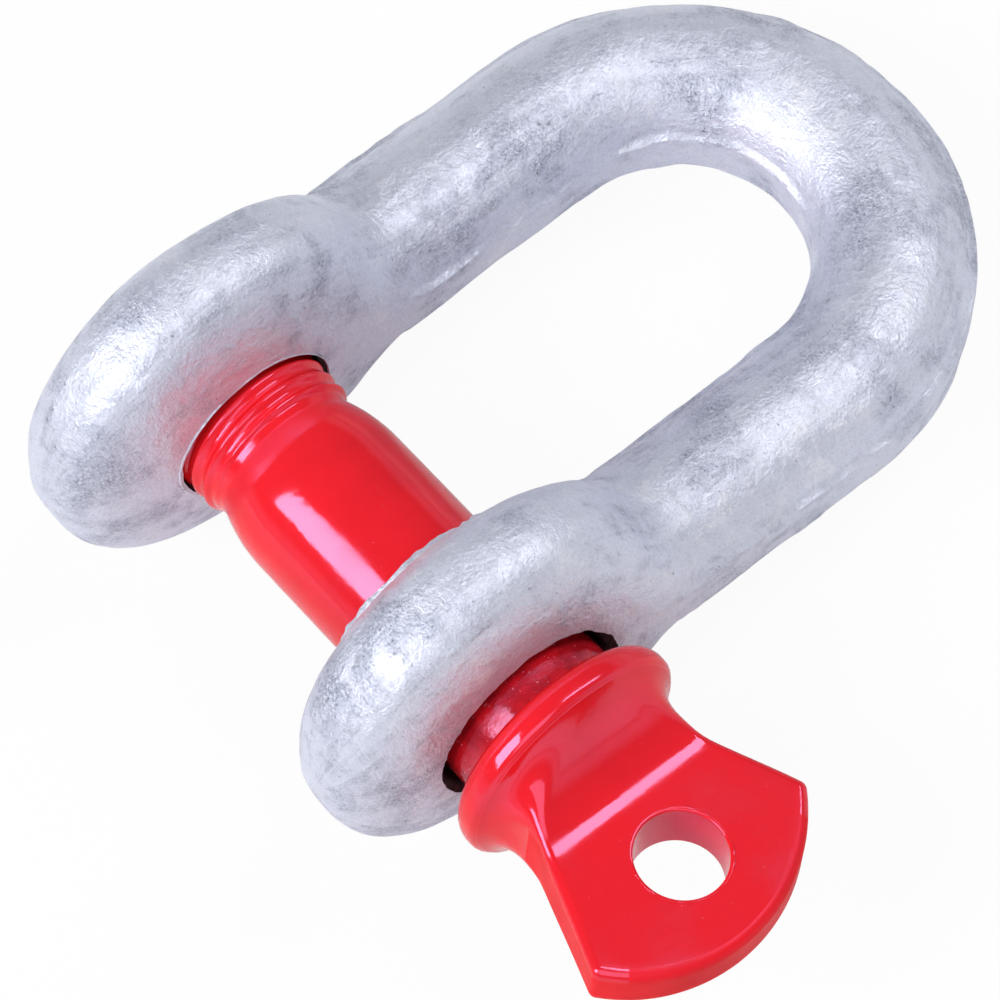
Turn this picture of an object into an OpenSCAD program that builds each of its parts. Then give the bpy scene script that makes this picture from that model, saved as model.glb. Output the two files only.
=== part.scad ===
// Screw pin chain shackle: a forged bow with two thick eyes, closed by a screw pin with a flat eared head.
// The pin's axis is the X axis, with the head at +X. The bow runs towards +Y and lies on its eyes and crown.

/* [Bow] */
// Diameter of the round bar
bar_d = 16.2; // [13:0.1:18]
// Distance between the centre lines of the two legs
leg_spacing = 42.9; // [41:0.1:50]
// Distance from the pin's axis to the centre of the crown's arc
leg_len = 44.9; // [40:0.1:60]

/* [Eyes] */
// Outside diameter of each eye
eye_d = 41.8; // [38:0.2:46]
// Thickness of each eye along the pin
eye_t = 15.3; // [13:0.1:16.6]
// How far the middle of each eye sits inside the centre line of its leg
eye_inset = 0.4; // [0:0.1:1.5]
// Squareness of an eye's section: 2 is an ellipse, more is flatter
eye_square = 2.8; // [2.2:0.1:3]
// Radius of the fillet that runs from an eye's rim into its leg
neck_r = 8.5; // [6:0.5:14]

/* [Pin] */
// Diameter of the pin's plain shank
shank_d = 18.8; // [17:0.1:20]
// Outside diameter of the pin's thread
thread_d = 17.8; // [16:0.1:18.4]
// Diameter of the groove between the thread and the shank
relief_d = 16.4; // [14:0.1:16.8]
// Length of the groove between the thread and the shank
relief_len = 1.2; // [0.6:0.1:2]
// Length of the shank at its full diameter, from the collar
shank_len = 33.6; // [30:0.2:36]
// Length over which the shank rounds down to the groove
nose_len = 6.4; // [4:0.2:8]
// Chamfer at the pin's end
tip_chamfer = 1.6; // [0.5:0.1:2.5]
// How far the pin's end stands out of the threaded eye when it is screwed home
tip_stand = 0.6; // [0:0.1:3]
// How far the pin is unscrewed
unscrewed = 2.58; // [0.5:0.02:6]
// Radial clearance of the shank in the plain eye
bore_clear = 0.9; // [0.3:0.05:1.2]
// Radial clearance of the thread in the threaded eye
thread_clear = 0.2; // [0.1:0.05:0.5]

/* [Collar] */
// Diameter of the collar
collar_d = 26; // [24:0.2:30]
// Thickness of the collar
collar_t = 3.6; // [3.2:0.1:6]
// Radius of the collar's rounded rim on the side of the eye
rim_r = 2.2; // [1:0.1:2.2]
// Radius of the collar's rounded rim on the side of the plate
front_r = 0.9; // [0.5:0.1:1.2]

/* [Head] */
// Thickness of the flat plate at its hole
plate_t = 6; // [4:0.1:8]
// Angle at which each face of the plate falls towards the plate's end
taper = 3; // [0:0.5:5]
// Half the plate's width where it is narrowest
waist = 9.8; // [8:0.1:11]
// Half the plate's width over the tips of its ears
ear_half = 15; // [12.5:0.1:18]
// Distance from the collar's seat to the tips of the ears
ear_x = 22; // [20:0.2:26]
// How far the plate's end bulges past the tips of the ears
end_bulge = 7.7; // [5:0.1:11]
// How far one ear's tip lies past the middle of the two along the pin, and the other's short of it
ear_skew = 1.4; // [0:0.1:2.5]
// Radius of the hollow side between the waist and an ear
side_r = 8; // [3:0.1:10]
// Distance from the collar's front to the waist
waist_len = 4.1; // [3:0.1:5]
// Radius of the plate's long edges
edge_r = 1; // [0.4:0.1:1.2]
// Radius of the ears' tips
tip_r = 1.4; // [1.2:0.1:2.5]
// Length of the hollow ramp between the collar and the plate
ramp_len = 8.5; // [6:0.1:10]
// Arc of the ramp's hollow: 90 leaves the collar square, less is straighter
ramp_arc = 55; // [30:1:85]
// Diameter of the hole in the plate
hole_d = 9.5; // [5:0.1:12]
// Distance from the collar's seat to the middle of the hole
hole_x = 19.1; // [17:0.1:22]
// Turn of the head about the pin's axis, from the plane of the bow
head_turn = -4; // [-90:1:90]

/* [Hidden] */
$fn = 64;

zinc = [0.78, 0.80, 0.85];
red_paint = [0.90, 0.12, 0.16];

bar_r = bar_d / 2;
mid_x = leg_spacing / 2;
eye_r = eye_d / 2;
eye_x = mid_x - eye_inset;
bore_r = shank_d / 2 + bore_clear;
thread_bore_r = thread_d / 2 + thread_clear;

// The fillet of the neck touches the eye's rim at rim_end and the leg at neck_end
neck_end = sqrt(pow(eye_r + neck_r, 2) - pow(bar_r + neck_r, 2));
rim_end = neck_end * eye_r / (eye_r + neck_r);

// The bow's tilt when it lies on both eyes and the crown
lie_tilt = asin((eye_r - bar_r) / (leg_len + mid_x));

// The outermost part of the eye's face under the collar's flat, where the collar seats when the pin is home
seat_r = collar_d / 2 - rim_r;
home_x = mix(eye_x, mid_x, ease(seat_r / neck_end)) + half_width(seat_r);
seat_x = home_x + unscrewed;

// The threaded eye's face at the mouth of its bore, which the pin's end passes when the pin is home
face_x = eye_x + eye_t / 2 * pow(1 - pow(bore_r / eye_r, eye_square), 1 / eye_square);
tip_x = -face_x - tip_stand + unscrewed;

// The rounded nose of the shank is an arc that leaves the shank without a step
nose_drop = (shank_d - relief_d) / 2;
nose_r = (nose_len * nose_len + nose_drop * nose_drop) / (2 * nose_drop);

// The plate's end is one arc from ear tip to ear tip
end_r = (ear_half * ear_half + end_bulge * end_bulge) / (2 * end_bulge);
end_centre = ear_x + end_bulge - end_r;
ramp_end = collar_t + ramp_len;
waist_x = collar_t + waist_len;

// The straight side of an ear runs from its tip and touches the hollow's arc, which starts at the waist
side_dx = ear_x - waist_x;
side_dy = ear_half - waist - side_r;
flare = asin(side_r / norm([side_dx, side_dy])) + atan2(side_dy, side_dx);

// Numbers of steps along and around the lofted surfaces
eye_steps = 14;
neck_steps = 14;
crown_steps = 24;
section_steps = 40;
arc_steps = 6;
tip_steps = 3;
end_steps = 14;
// Smallest angle from the tip of an eye or of the plate at which a loft is closed
close_angle = 4;

function mix(a, b, k) = a + (b - a) * k;
function ease(k) = let (c = max(0, min(1, k))) c * c * (3 - 2 * c);
function signed_pow(v, p) = sign(v) * pow(abs(v), p);

// Half the height of the bow at a distance y from the pin's axis: eye, fillet, leg
function half_height(y) =
    y < rim_end ? sqrt(eye_r * eye_r - y * y)
    : y < neck_end ? bar_r + neck_r - sqrt(neck_r * neck_r - pow(neck_end - y, 2))
    : bar_r;

// Half the width of the bow at y
function half_width(y) =
    y < 0 ? eye_t / 2 * pow(1 - pow(-y / eye_r, eye_square), 1 / eye_square)
    : mix(eye_t / 2, bar_r, ease(y / neck_end));

// One closed section of the bow: angle is 180 on the far leg, 0 on the near one and between them on the crown
function section(angle, y) =
    let (
        leg = ease(y / neck_end),
        power = 2 / mix(eye_square, 2, leg),
        middle = mix(eye_x, mid_x, leg),
        w = half_width(y),
        h = half_height(y)
    )
    [for (k = [0 : section_steps - 1])
        let (
            t = 360 * k / section_steps,
            out = middle + w * signed_pow(cos(t), power)
        )
        [out * cos(angle), y + out * sin(angle), h * signed_pow(sin(t), power)]];

// Distances along one leg, from the tip of its eye to the end of its neck
leg_stations = concat(
    [for (k = [0 : eye_steps - 1]) -eye_r * cos(mix(close_angle, 90, k / eye_steps))],
    [for (k = [0 : neck_steps]) neck_end * k / neck_steps]
);

bow_loops = concat(
    [for (y = leg_stations) section(180, y)],
    [for (k = [0 : crown_steps]) section(180 - 180 * k / crown_steps, leg_len)],
    [for (k = [len(leg_stations) - 1 : -1 : 0]) section(0, leg_stations[k])]
);

// Half the thickness of the tapered plate at a distance x from the collar's seat
function face_z(x) = plate_t / 2 + (hole_x - x) * tan(taper);

// Rise of a hollow at a share of its length, from 0 where it starts flat to 1 at the collar
function hollow(k) =
    let (c = max(0, min(1, k)))
    (1 - cos(asin(c * sin(ramp_arc)))) / (1 - cos(ramp_arc));

// Radius at which the hollows meet the collar's rounded rim
ramp_top = (collar_d - front_r) / 2;

// Half the head's thickness, with the hollow ramp between the collar and the plate
function half_thickness(x) =
    face_z(max(x, collar_t)) + (ramp_top - face_z(collar_t)) * hollow((ramp_end - x) / ramp_len);

// Half the width of the neck between the collar and the waist
function neck_width(x) = waist + (ramp_top - waist) * hollow((waist_x - x) / waist_len);

// Tip of the ear: a round that touches the straight side and the end's arc, and ends at tip_angle on the arc
side_dir = [cos(flare), sin(flare)];
tip_from = [ear_x - end_centre, ear_half] - tip_r * [-sin(flare), cos(flare)];
tip_along = tip_from * side_dir;
tip_back = tip_along - sqrt(pow(tip_along, 2) - tip_from * tip_from + pow(end_r - tip_r, 2));
tip_mid = tip_from - tip_back * side_dir;
tip_angle = atan2(tip_mid[1], tip_mid[0]);

// Half outline of the head as [x, half width, outward direction], from inside the collar to the plate's end
head_outline = concat(
    [for (k = [0 : arc_steps - 1])
        let (x = mix(collar_t - front_r, waist_x, k / arc_steps)) [x, neck_width(x), [0, 1]]],
    [for (k = [0 : arc_steps])
        let (a = flare * k / arc_steps)
        [waist_x + side_r * sin(a), waist + side_r * (1 - cos(a)), [-sin(a), cos(a)]]],
    [for (k = [0 : tip_steps])
        let (a = mix(90 + flare, tip_angle, k / tip_steps), out = [cos(a), sin(a)], p = tip_mid + tip_r * out)
        [end_centre + p[0], p[1], out]],
    [for (k = [1 : end_steps])
        let (a = mix(tip_angle, close_angle, k / end_steps), out = [cos(a), sin(a)])
        [end_centre + end_r * out[0], end_r * out[1], out]]
);

// Radius of the head's long edges: almost round at the collar, small on the plate
function corner_r(x) =
    mix(0.9 * min(half_thickness(x), neck_width(x)), edge_r, ease((x - collar_t) / (0.8 * ramp_len)));

// One loop round the head at an outline station: four rounded corners
function head_loop(station) =
    let (
        r = corner_r(station[0]),
        inset = min(r, edge_r),
        out = station[2],
        quarter = [for (k = [0 : arc_steps])
            let (
                a = 90 * k / arc_steps,
                cut = 1 - cos(a),
                x = station[0] - inset * cut * out[0],
                y = max(0, station[1] - r * cut * out[1])
            )
            [x, y, half_thickness(x) - r * (1 - sin(a))]],
        back = [for (k = [arc_steps : -1 : 0]) quarter[k]]
    )
    concat(
        quarter,
        [for (p = back) [p[0], -p[1], p[2]]],
        [for (p = quarter) [p[0], -p[1], -p[2]]],
        [for (p = back) [p[0], p[1], -p[2]]]
    );

// Point of the head moved to where the ears lean, still on the plate's tapered face
function leaned(p) =
    let (dx = -ear_skew * p[1] / ear_half * ease((p[0] - waist_x) / (ear_x - waist_x)))
    [p[0] + dx, p[1], p[2] - sign(p[2]) * dx * tan(taper)];

head_loops = [for (s = head_outline) [for (p = head_loop(s)) leaned(p)]];

// Faces that close the far end of a loft flat
function flat_cap(first, n) = [[for (k = [n - 1 : -1 : 0]) first + k]];

// Faces that close the far end of a loft with strips between mirrored points, where the end isn't flat
function strip_cap(first, n) =
    [for (k = [3 * n / 4 : 5 * n / 4 - 2], half = [0, 1])
        let (
            a = k % n,
            b = (k + 1) % n,
            across_a = (3 * n / 2 - 1 - a) % n,
            across_b = (3 * n / 2 - 1 - b) % n
        )
        half == 0
            ? [first + a, first + across_a, first + b]
            : [first + across_a, first + across_b, first + b]];

// Solid through a row of closed loops that all have as many points
module loft(loops, curved_end = false) {
    n = len(loops[0]);
    last = len(loops) - 1;
    skin = [for (i = [0 : last - 1], k = [0 : n - 1], half = [0, 1])
        let (a = i * n + k, b = i * n + (k + 1) % n)
        half == 0 ? [a, a + n, b] : [b, a + n, b + n]];
    near_cap = [[for (k = [0 : n - 1]) k]];
    far_cap = curved_end ? strip_cap(last * n, n) : flat_cap(last * n, n);
    polyhedron([for (loop = loops) each loop], concat(skin, near_cap, far_cap), convexity = 6);
}

// Turns the shape from the bow's own plane to the way it lies
module laid() {
    rotate([-lie_tilt, 0, 0]) children();
}

// Round solid about the X axis, from a profile of [x, radius] points
module turned(profile) {
    rotate([0, 90, 0])
        rotate_extrude($fn = 96)
            polygon([for (p = profile) [p[1], p[0]]]);
}

module shackle_body() {
    through = mid_x + bar_d;
    color(zinc)
        laid()
            difference() {
                loft(bow_loops);
                rotate([0, 90, 0]) cylinder(r = bore_r, h = through);
                rotate([0, -90, 0]) cylinder(r = thread_bore_r, h = through);
            }
}

// Thread blank, groove, rounded nose, shank and collar
module pin_shank() {
    shank_r = shank_d / 2;
    collar_r = collar_d / 2;
    nose_x = seat_x - shank_len;
    groove_x = nose_x - nose_len;
    thread_x = groove_x - relief_len;
    front_x = seat_x + collar_t;
    nose = [for (k = [0 : arc_steps])
        let (x = nose_len * (1 - k / arc_steps))
        [nose_x - x, shank_r - nose_r + sqrt(nose_r * nose_r - x * x)]];
    rim_back = [for (k = [0 : arc_steps])
        let (a = 90 * k / arc_steps)
        [seat_x + rim_r * (1 - cos(a)), collar_r - rim_r * (1 - sin(a))]];
    rim_front = [for (k = [0 : arc_steps])
        let (a = 90 * k / arc_steps)
        [front_x - front_r * (1 - sin(a)), collar_r - front_r * (1 - cos(a))]];
    turned(concat(
        [[tip_x, 0], [tip_x, thread_d / 2 - tip_chamfer], [tip_x + tip_chamfer, thread_d / 2]],
        [[thread_x, thread_d / 2], [thread_x, relief_d / 2]],
        nose,
        [[seat_x, shank_r]],
        rim_back,
        rim_front,
        [[front_x, 0]]
    ));
}

module screw_pin() {
    color(red_paint)
        laid()
            rotate([head_turn, 0, 0])
                difference() {
                    union() {
                        pin_shank();
                        translate([seat_x, 0, 0]) loft(head_loops, curved_end = true);
                    }
                    translate([seat_x + hole_x, 0, -plate_t])
                        cylinder(d = hole_d, h = 2 * plate_t);
                }
}

shackle_body();
screw_pin();
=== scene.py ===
"""Screw pin chain shackle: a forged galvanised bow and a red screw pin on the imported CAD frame.

Sizes are in millimetres in the bow's own plane, with the pin along X, its head at +X and the crown
at +Y. Each piece is laid down on the floor and turned to metres when its mesh is made.
"""

import logging
import math
from collections.abc import Iterable
from dataclasses import dataclass, field
from enum import Enum

import bmesh
import bpy
import numpy as np
from mathutils import Matrix, Vector, noise


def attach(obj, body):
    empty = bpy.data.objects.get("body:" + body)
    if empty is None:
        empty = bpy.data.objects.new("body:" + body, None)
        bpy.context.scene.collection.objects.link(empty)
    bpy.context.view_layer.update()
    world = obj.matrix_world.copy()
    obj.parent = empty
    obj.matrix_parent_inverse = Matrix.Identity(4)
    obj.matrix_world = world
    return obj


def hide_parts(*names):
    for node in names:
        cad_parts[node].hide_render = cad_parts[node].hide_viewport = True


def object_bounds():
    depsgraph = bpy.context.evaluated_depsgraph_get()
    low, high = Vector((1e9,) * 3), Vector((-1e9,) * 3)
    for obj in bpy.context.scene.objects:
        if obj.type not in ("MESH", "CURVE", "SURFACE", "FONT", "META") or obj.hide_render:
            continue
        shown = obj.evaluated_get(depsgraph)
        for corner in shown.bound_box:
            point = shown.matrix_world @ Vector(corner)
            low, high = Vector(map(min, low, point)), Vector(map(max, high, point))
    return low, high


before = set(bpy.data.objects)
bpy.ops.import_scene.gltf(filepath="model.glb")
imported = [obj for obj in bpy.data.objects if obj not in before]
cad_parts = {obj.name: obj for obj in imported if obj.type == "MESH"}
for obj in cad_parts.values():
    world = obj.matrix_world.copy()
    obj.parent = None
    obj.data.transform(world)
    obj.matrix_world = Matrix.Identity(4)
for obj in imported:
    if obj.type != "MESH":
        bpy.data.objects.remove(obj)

CAD_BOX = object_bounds()
LOG = logging.getLogger("shackle")
MM = 0.001
# Millimetres to one unit of the map that runs along and round a tube
MAP_UNIT = 100.0
# Points closer than this, in metres, become one
WELD = 1e-7
# Least length that a direction is divided by
TINY = 1e-9
# Power of a section that is a true circle; a higher one is squarer
CIRCLE = 2.0
# Where the thread starts, as a share of a turn
THREAD_START = 0.005
# How a seed moves a pattern along x, y and z
SEED_SHIFT = (1.0, 1.7, -2.3)

Colour = tuple[float, float, float]
Values = np.ndarray | float
Socket = bpy.types.NodeSocket


class Eye(Enum):
    """The bow's two eyes, by the side of the bow's middle on which each one sits."""

    TAPPED = -1.0
    PLAIN = 1.0


class Coat(Enum):
    """Which finish of a piece a face takes, as its place in the piece's list of finishes."""

    MAIN = 0
    DRY_WITH_SHADE = 1
    EDGE = 2
    HOLE = 3


class End(Enum):
    """How a tube ends: with flat faces, with a last row that is a line, or by meeting its start."""

    CAPPED = "capped"
    LINE = "line"
    RING = "ring"


class Sum(Enum):
    """One step of arithmetic in a material, by Blender's name for it."""

    PLUS = "ADD"
    MINUS = "SUBTRACT"
    TIMES = "MULTIPLY"


def ease(share: Values) -> np.ndarray:
    """Smooth step from 0 to 1."""
    held = np.clip(share, 0.0, 1.0)
    return held * held * (3.0 - 2.0 * held)


def mix(low: Values, high: Values, share: Values) -> Values:
    """Value between low and high at that share."""
    return low + (high - low) * share


def once_round(steps: int) -> np.ndarray:
    """Even turns once round, in radians, from 0."""
    return np.linspace(0.0, 2.0 * math.pi, steps, endpoint=False)


def round_pin(x: Values, radius: Values, angle: np.ndarray) -> np.ndarray:
    """Points round the pin's axis, with x, y, z on the last axis."""
    return np.stack(np.broadcast_arrays(x, radius * np.cos(angle), radius * np.sin(angle)), axis=-1)


def turn_about_pin(points: np.ndarray, degrees: float) -> np.ndarray:
    """The points, one to a row, turned about the pin's axis."""
    c, s = math.cos(math.radians(degrees)), math.sin(math.radians(degrees))
    return points @ np.array([[1.0, 0.0, 0.0], [0.0, c, -s], [0.0, s, c]]).T


def thread_offset(x: np.ndarray, angle: np.ndarray, pitch: float) -> np.ndarray:
    """Distance from the middle of the thread's crest, as a share of the pitch."""
    turns = x / pitch - angle / (2.0 * math.pi) + THREAD_START
    return np.abs(np.mod(turns, 1.0) - 0.5)


@dataclass(frozen=True)
class Ripple:
    """One layer of smooth random bumps, the same at each run; the seed picks another set."""

    height: float
    wavelength: float
    seed: float

    def at(self, points: np.ndarray) -> np.ndarray:
        """Heights of the bumps.

        Args:
            points: places in millimetres, in an array whose last axis is x, y, z.

        Returns:
            One height for each place, from about -height to height.
        """
        shift = Vector([share * self.seed for share in SEED_SHIFT])
        flat = points.reshape(-1, 3) / self.wavelength
        bumps = np.array([noise.noise(Vector(p) + shift) for p in flat])
        return self.height * bumps.reshape(points.shape[:-1])


def layered(start: Values, ripples: Iterable[Ripple], points: np.ndarray) -> np.ndarray:
    """The start value with each ripple's heights at the points added."""
    return sum((ripple.at(points) for ripple in ripples), start=start)


@dataclass
class Skin:
    """Points and faces of one piece while it is made, in millimetres in the bow's plane."""

    points: list[np.ndarray] = field(default_factory=list)
    faces: list[list[int]] = field(default_factory=list)
    places: list[tuple[float, float]] = field(default_factory=list)
    coats: list[int] = field(default_factory=list)
    count: int = 0

    def add_tube(
        self, rows: np.ndarray, end: End = End.CAPPED, coats: np.ndarray | None = None
    ) -> None:
        """Adds a closed surface through rows of points that each go once round.

        Args:
            rows: points by row, by place in the row, and x, y, z.
            end: how the last row is closed.
            coats: the finish of the face that starts at each point, if it isn't all the main one.
        """
        steps, around = rows.shape[:2]
        coats = np.full((steps, around), Coat.MAIN.value) if coats is None else coats
        first, last = self.count, self.count + (steps - 1) * around
        self.points.append(rows.reshape(-1, 3))
        self.count += steps * around
        ahead = np.linalg.norm((np.roll(rows, -1, axis=0) - rows).mean(axis=1), axis=1)
        run = np.concatenate([[0.0], np.cumsum(ahead)]) / MAP_UNIT
        beside = np.linalg.norm(np.roll(rows, -1, axis=1) - rows, axis=2)
        girth = beside.sum(axis=1).mean() / MAP_UNIT
        for i in range(steps if end is End.RING else steps - 1):
            here, there = first + i * around, first + ((i + 1) % steps) * around
            back, front = run[i], run[i + 1]
            for k in range(around):
                n = (k + 1) % around
                self.faces.append([here + k, here + n, there + n, there + k])
                low, high = girth * k / around, girth * (k + 1) / around
                self.places += [(back, low), (back, high), (front, high), (front, low)]
                self.coats.append(int(coats[i, k]))
        for start in {End.CAPPED: (first, last), End.LINE: (first,), End.RING: ()}[end]:
            self.faces.append([start + k for k in range(around)])
            self.places += [(0.0, 0.0)] * around
            self.coats.append(Coat.MAIN.value)

    def to_piece(
        self, name: str, finishes: list[bpy.types.Material], tilt_deg: float
    ) -> bpy.types.Object:
        """Makes the Blender object.

        Args:
            name: the object's name.
            finishes: its materials, in the order of Coat.
            tilt_deg: how far the bow's plane tips down towards the crown.

        Returns:
            The object, linked to the scene, with its place in its mesh.
        """
        mesh = bpy.data.meshes.new(name)
        laid = turn_about_pin(np.concatenate(self.points), -tilt_deg) * MM
        mesh.from_pydata(laid.tolist(), [], self.faces)
        places = np.array(self.places, np.float32).ravel()
        mesh.uv_layers.new(name="run").data.foreach_set("uv", places)
        for finish in finishes:
            mesh.materials.append(finish)
        mesh.polygons.foreach_set("material_index", self.coats)
        work = bmesh.new()
        work.from_mesh(mesh)
        bmesh.ops.remove_doubles(work, verts=work.verts, dist=WELD)
        bmesh.ops.recalc_face_normals(work, faces=work.faces)
        work.to_mesh(mesh)
        work.free()
        piece = bpy.data.objects.new(name, mesh)
        bpy.context.scene.collection.objects.link(piece)
        return piece


def cut(piece: bpy.types.Object, cutter: bpy.types.Object) -> None:
    """Takes the cutter's shape out of the piece and removes the cutter.

    Args:
        piece: what is cut; its mesh is replaced.
        cutter: a closed mesh; the new faces keep its finish.
    """
    change = piece.modifiers.new("cut", "BOOLEAN")
    change.operation = "DIFFERENCE"
    change.solver = "MANIFOLD"
    change.object = cutter
    change.material_mode = "TRANSFER"
    view = bpy.context.evaluated_depsgraph_get()
    done = bpy.data.meshes.new_from_object(piece.evaluated_get(view))
    piece.modifiers.clear()
    old, name = piece.data, piece.data.name
    piece.data = done
    bpy.data.meshes.remove(old)
    done.name = name
    bpy.data.objects.remove(cutter)


def add_to(piece: bpy.types.Object, extra: bpy.types.Object) -> None:
    """Joins the extra object's mesh to the piece's own mesh and removes the extra object.

    Args:
        piece: keeps its name and place.
        extra: what is joined to it.
    """
    both = [piece, extra]
    with bpy.context.temp_override(
        active_object=piece, object=piece, selected_editable_objects=both
    ):
        bpy.ops.object.join()


def smooth(piece: bpy.types.Object, sharp_deg: float) -> None:
    """Shades the piece smooth, with edges steeper than sharp_deg kept sharp."""
    piece.data.shade_smooth()
    piece.data.set_sharp_from_angle(angle=math.radians(sharp_deg))


@dataclass(frozen=True)
class Cloud:
    """A noise pattern: distance between clouds, finer layers, their weight, and its twist."""

    size: float
    detail: float
    rough: float
    twist: float = 0.0


@dataclass(frozen=True)
class Span:
    """The two values that a pattern is mapped from and the two that they become."""

    low: float
    high: float
    to_low: float = 0.0
    to_high: float = 1.0


class Shading:
    """The node tree of one material, with short calls for the nodes that the finishes use."""

    def __init__(self, name: str) -> None:
        """Makes the material and keeps its shader.

        Args:
            name: the material's name.
        """
        self.material = bpy.data.materials.new(name)
        self.material.use_nodes = True
        self.tree = self.material.node_tree
        self.shader = self.tree.nodes["Principled BSDF"]

    def node(self, kind: str, **settings: object) -> bpy.types.Node:
        """Adds a node and sets its own properties.

        Args:
            kind: the node's type name.
            settings: property values.

        Returns:
            The new node.
        """
        made = self.tree.nodes.new(kind)
        for key, value in settings.items():
            setattr(made, key, value)
        return made

    def feed(self, socket: Socket, value: object) -> None:
        """Links an input to a socket, or sets it to a plain value.

        Args:
            socket: the input.
            value: an output socket, a number, or a colour with its alpha.
        """
        if isinstance(value, Socket):
            self.tree.links.new(value, socket)
        else:
            socket.default_value = value

    def set(self, key: str, value: object) -> None:
        """Feeds the shader's input of that name."""
        self.feed(self.shader.inputs[key], value)

    def mapped(self, place: Socket, scale: tuple[float, float, float]) -> Socket:
        """Scales a vector.

        Args:
            place: the vector.
            scale: factor on each axis.

        Returns:
            The vector to feed to a texture.
        """
        made = self.node("ShaderNodeMapping")
        made.inputs["Scale"].default_value = scale
        self.feed(made.inputs["Vector"], place)
        return made.outputs["Vector"]

    def millimetres(self) -> Socket:
        """Places on the object in millimetres, to feed to a texture."""
        place = self.node("ShaderNodeTexCoord").outputs["Object"]
        return self.mapped(place, (1.0 / MM,) * 3)

    def along_bar(self, along: float, across: float) -> Socket:
        """Places for streaks that follow the bar, by repeats to 100 mm along it and round it."""
        place = self.node("ShaderNodeUVMap", uv_map="run").outputs["UV"]
        return self.mapped(place, (along, across, 1.0))

    def cloud(self, place: Socket, pattern: Cloud) -> Socket:
        """Noise from 0 to 1.

        Args:
            place: the vector to read it at.
            pattern: its measures, in the vector's units.

        Returns:
            The noise value.
        """
        made = self.node("ShaderNodeTexNoise")
        self.feed(made.inputs["Vector"], place)
        made.inputs["Scale"].default_value = 1.0 / pattern.size
        made.inputs["Detail"].default_value = pattern.detail
        made.inputs["Roughness"].default_value = pattern.rough
        made.inputs["Distortion"].default_value = pattern.twist
        return made.outputs["Fac"]

    def spread(self, value: Socket, span: Span) -> Socket:
        """Maps values smoothly from one span to another and holds them at its ends.

        Args:
            value: what is mapped.
            span: from where to where.

        Returns:
            The mapped value.
        """
        made = self.node("ShaderNodeMapRange", interpolation_type="SMOOTHSTEP")
        self.feed(made.inputs["Value"], value)
        made.inputs["From Min"].default_value = span.low
        made.inputs["From Max"].default_value = span.high
        made.inputs["To Min"].default_value = span.to_low
        made.inputs["To Max"].default_value = span.to_high
        return made.outputs["Result"]

    def sums(self, kind: Sum, first: Socket | float, second: Socket | float) -> Socket:
        """One step of arithmetic.

        Args:
            kind: which step.
            first: first value.
            second: second value.

        Returns:
            The result.
        """
        made = self.node("ShaderNodeMath", operation=kind.value)
        self.feed(made.inputs[0], first)
        self.feed(made.inputs[1], second)
        return made.outputs[0]

    def plus(self, first: Socket, second: Socket) -> Socket:
        """The first value plus the second."""
        return self.sums(Sum.PLUS, first, second)

    def minus(self, first: Socket, second: Socket) -> Socket:
        """The first value less the second."""
        return self.sums(Sum.MINUS, first, second)

    def times(self, first: Socket, second: Socket | float) -> Socket:
        """The first value times the second."""
        return self.sums(Sum.TIMES, first, second)

    def turned_away(self) -> Socket:
        """How far the surface turns away from the eye, from 0 to 1."""
        return self.node("ShaderNodeLayerWeight").outputs["Facing"]

    def blend(self, share: Socket, low: Socket | Colour, high: Socket | Colour) -> Socket:
        """Colour between low and high.

        Args:
            share: 0 for low, 1 for high.
            low: first colour.
            high: second colour.

        Returns:
            The mixed colour.
        """
        made = self.node("ShaderNodeMix", data_type="RGBA")
        self.feed(made.inputs[0], share)
        for place, colour in ((6, low), (7, high)):
            self.feed(made.inputs[place], colour if isinstance(colour, Socket) else (*colour, 1.0))
        return made.outputs[2]

    def relief(self, height: Socket, depth_mm: float, under: Socket | None = None) -> Socket:
        """Fine relief that the light sees, over another relief.

        Args:
            height: value from 0 to 1.
            depth_mm: depth between 0 and 1.
            under: the relief below, if there is one.

        Returns:
            The bent normal.
        """
        made = self.node("ShaderNodeBump")
        made.inputs["Strength"].default_value = 1.0
        made.inputs["Distance"].default_value = depth_mm * MM
        self.feed(made.inputs["Height"], height)
        if under is not None:
            self.feed(made.inputs["Normal"], under)
        return made.outputs["Normal"]


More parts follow.
